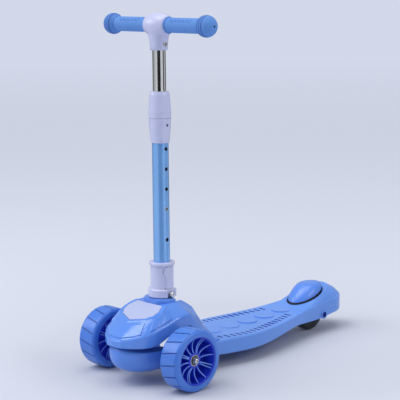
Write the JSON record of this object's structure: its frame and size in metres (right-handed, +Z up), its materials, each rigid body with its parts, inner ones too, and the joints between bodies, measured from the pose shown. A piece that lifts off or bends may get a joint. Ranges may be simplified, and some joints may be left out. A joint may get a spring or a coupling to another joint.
{
  "type": "kick scooter",
  "caption": "Kick scooter with a pair of wide front wheels, lean-to-steer head, grooved deck, pedal brake over the rear wheel, folding stem and height-adjustable handlebar.",
  "frame": {"origin": "centre of the bounding box in plan, on the floor under the wheels", "axes": "+Z up, -Y the way the scooter rides (front wheels at -Y, tail at +Y), +X to the rider's left"},
  "size_m": [0.295, 0.657, 0.706],
  "materials": {
    "deck_blue": "moulded plastic, soft gloss",
    "body_blue": "moulded plastic, glossy",
    "pale_lavender": "moulded plastic, glossy",
    "tyre_blue": "cast polyurethane, slightly clear",
    "rim_blue": "moulded plastic, glossy",
    "tyre_black": "cast polyurethane, satin",
    "core_black": "moulded plastic, satin",
    "grip_blue": "matt rubber with a moulded texture",
    "tube_blue": "metallic paint",
    "chrome_tube": "bright chrome plate",
    "zinc_steel": "zinc plated",
    "bearing_steel": "ground steel with a dark seal",
    "coated_steel": "satin powder coat",
    "black_nylon": "moulded nylon",
    "black_rubber": "matt rubber"
  },
  "bodies": {
    "frame": {"deck": "deck_blue", "hood": "body_blue", "hood_cap": "pale_lavender", "neck_frame": "coated_steel", "neck_frame_screws": "zinc_steel", "hood_screws": "zinc_steel", "lean_pivot_bolt": "zinc_steel", "lean_pivot_nut": "zinc_steel", "lean_inner_sleeve": "zinc_steel", "lean_thrust_washer": "black_nylon", "lean_bolt_washers": "zinc_steel", "rear_axle_bolt": "zinc_steel", "rear_axle_nut": "zinc_steel", "rear_axle_spacers": "zinc_steel", "brake_hinge_pin": "zinc_steel", "brake_spring": "zinc_steel"},
    "steering": {"steering_bracket": "body_blue", "lean_rubber_bush": "black_rubber", "front_axle_bolts": "zinc_steel", "front_axle_nuts": "zinc_steel", "front_axle_washers": "zinc_steel", "front_axle_spacers": "zinc_steel"},
    "wheel_left": {"front_tyre_left": "tyre_blue", "front_rim_left": "rim_blue", "front_bearings_left": "bearing_steel"},
    "wheel_right": {"front_tyre_right": "tyre_blue", "front_rim_right": "rim_blue", "front_bearings_right": "bearing_steel"},
    "rear_wheel": {"rear_tyre": "tyre_black", "rear_wheel_core": "core_black", "rear_bearings": "bearing_steel"},
    "brake": {"brake_pedal": "body_blue", "brake_shoe": "zinc_steel", "brake_shoe_screws": "zinc_steel"},
    "stem": {"fold_knuckle": "coated_steel", "knuckle_rivet": "zinc_steel", "outer_tube": "tube_blue", "fold_sleeve": "pale_lavender", "fold_pivot_bolt": "zinc_steel", "fold_pivot_nut": "zinc_steel", "fold_lever_springs": "zinc_steel", "collar_base": "pale_lavender", "collar_screw": "zinc_steel", "collet": "black_nylon"},
    "lever": {"fold_lever": "pale_lavender"},
    "collar_ring": {"collar_twist_ring": "pale_lavender"},
    "handlebar": {"inner_tube": "chrome_tube", "inner_tube_guide_bush": "black_nylon", "t_joint": "pale_lavender", "t_joint_bolt": "zinc_steel", "t_joint_nut": "zinc_steel", "handlebar_tube": "chrome_tube", "grip_left": "grip_blue", "grip_right": "grip_blue"},
    "height_lock": {"height_pin": "zinc_steel", "height_pin_spring": "zinc_steel"}
  },
  "joints": [
    {"name": "lean_steer", "type": "hinge", "parent": "frame", "child": "steering", "pos_m": [0, -0.228, 0.062], "axis": [0, -0.5, 0.866], "range_deg": [-12, 12], "stiffness_Nm_per_rad": 25},
    {"name": "spin_left", "type": "hinge", "parent": "steering", "child": "wheel_left", "pos_m": [0.1165, -0.238, 0.06], "axis": [1, 0, 0], "continuous": true},
    {"name": "spin_right", "type": "hinge", "parent": "steering", "child": "wheel_right", "pos_m": [-0.1165, -0.238, 0.06], "axis": [1, 0, 0], "continuous": true},
    {"name": "spin_rear", "type": "hinge", "parent": "frame", "child": "rear_wheel", "pos_m": [0, 0.244, 0.04], "axis": [1, 0, 0], "continuous": true},
    {"name": "brake_press", "type": "hinge", "parent": "frame", "child": "brake", "pos_m": [0, 0.183, 0.054], "axis": [-1, 0, 0], "range_deg": [0, 2.4], "stiffness_Nm_per_rad": 2, "springref_deg": -5.73},
    {"name": "stem_fold", "type": "hinge", "parent": "frame", "child": "stem", "pos_m": [0, -0.197, 0.1625], "axis": [-1, 0, 0], "range_deg": [0, 85]},
    {"name": "lever_open", "type": "hinge", "parent": "stem", "child": "lever", "pos_m": [0, -0.197, 0.1625], "axis": [-1, 0, 0], "range_deg": [0, 6], "stiffness_Nm_per_rad": 2, "springref_deg": -5.73},
    {"name": "collar_twist", "type": "hinge", "parent": "stem", "child": "collar_ring", "pos_m": [0, -0.197, 0.53], "axis": [0, 0, 1], "range_deg": [0, 60]},
    {"name": "bar_height", "type": "slide", "parent": "stem", "child": "handlebar", "axis": [0, 0, 1], "range_m": [-0.0602, 0.117]},
    {"name": "pin_press", "type": "slide", "parent": "handlebar", "child": "height_lock", "axis": [-1, 0, 0], "range_m": [0, 0.003], "stiffness_N_per_m": 500, "springref_m": -0.002}
  ]
}
